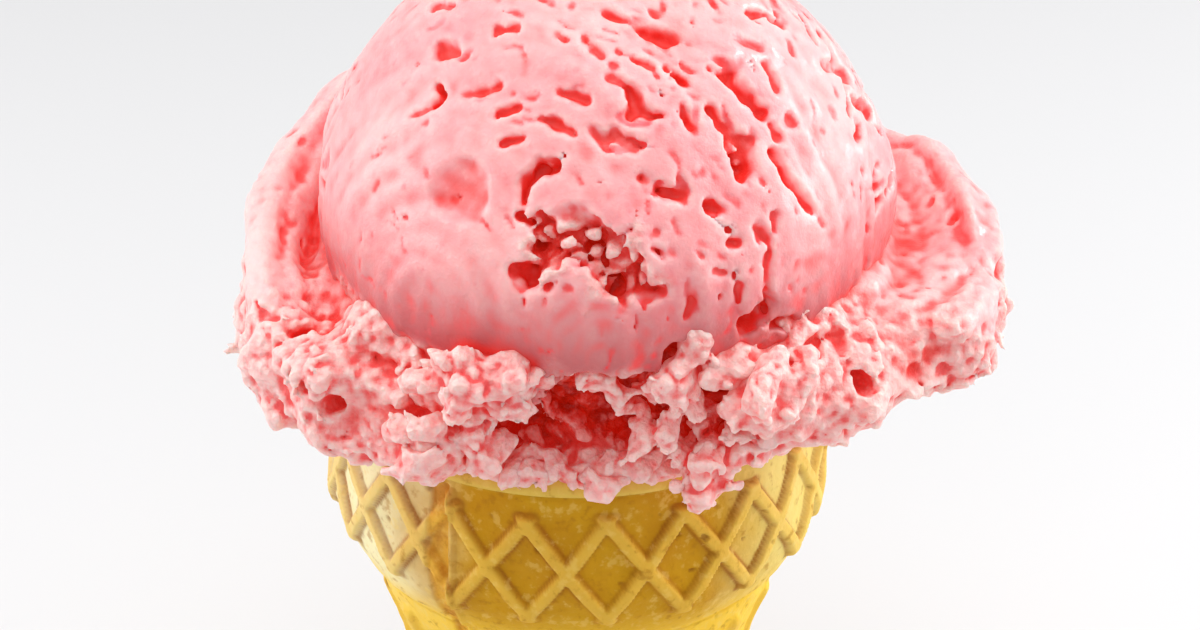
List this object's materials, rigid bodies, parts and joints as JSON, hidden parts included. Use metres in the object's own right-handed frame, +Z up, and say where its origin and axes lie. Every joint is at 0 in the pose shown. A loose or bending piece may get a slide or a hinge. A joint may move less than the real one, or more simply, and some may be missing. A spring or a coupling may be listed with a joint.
{
  "type": "ice cream cone",
  "caption": "Scoop of pink ice cream with a torn frill, on a flat-bottomed moulded wafer cone with a raised trellis band and a ribbed stem.",
  "frame": {"origin": "centre of the wafer cone's flat base, on the cone's axis", "axes": "+Z up along the cone's axis to the scoop, -Y towards the side shown in the picture, +X to that side's right"},
  "size_m": [0.0785, 0.0671, 0.1191],
  "materials": {
    "wafer": "dry baked wafer, matt",
    "ice_cream": "pink ice cream, moist, satin"
  },
  "bodies": {
    "root": {"wafer_cone": "wafer", "ice_cream": "ice_cream"}
  },
  "joints": []
}
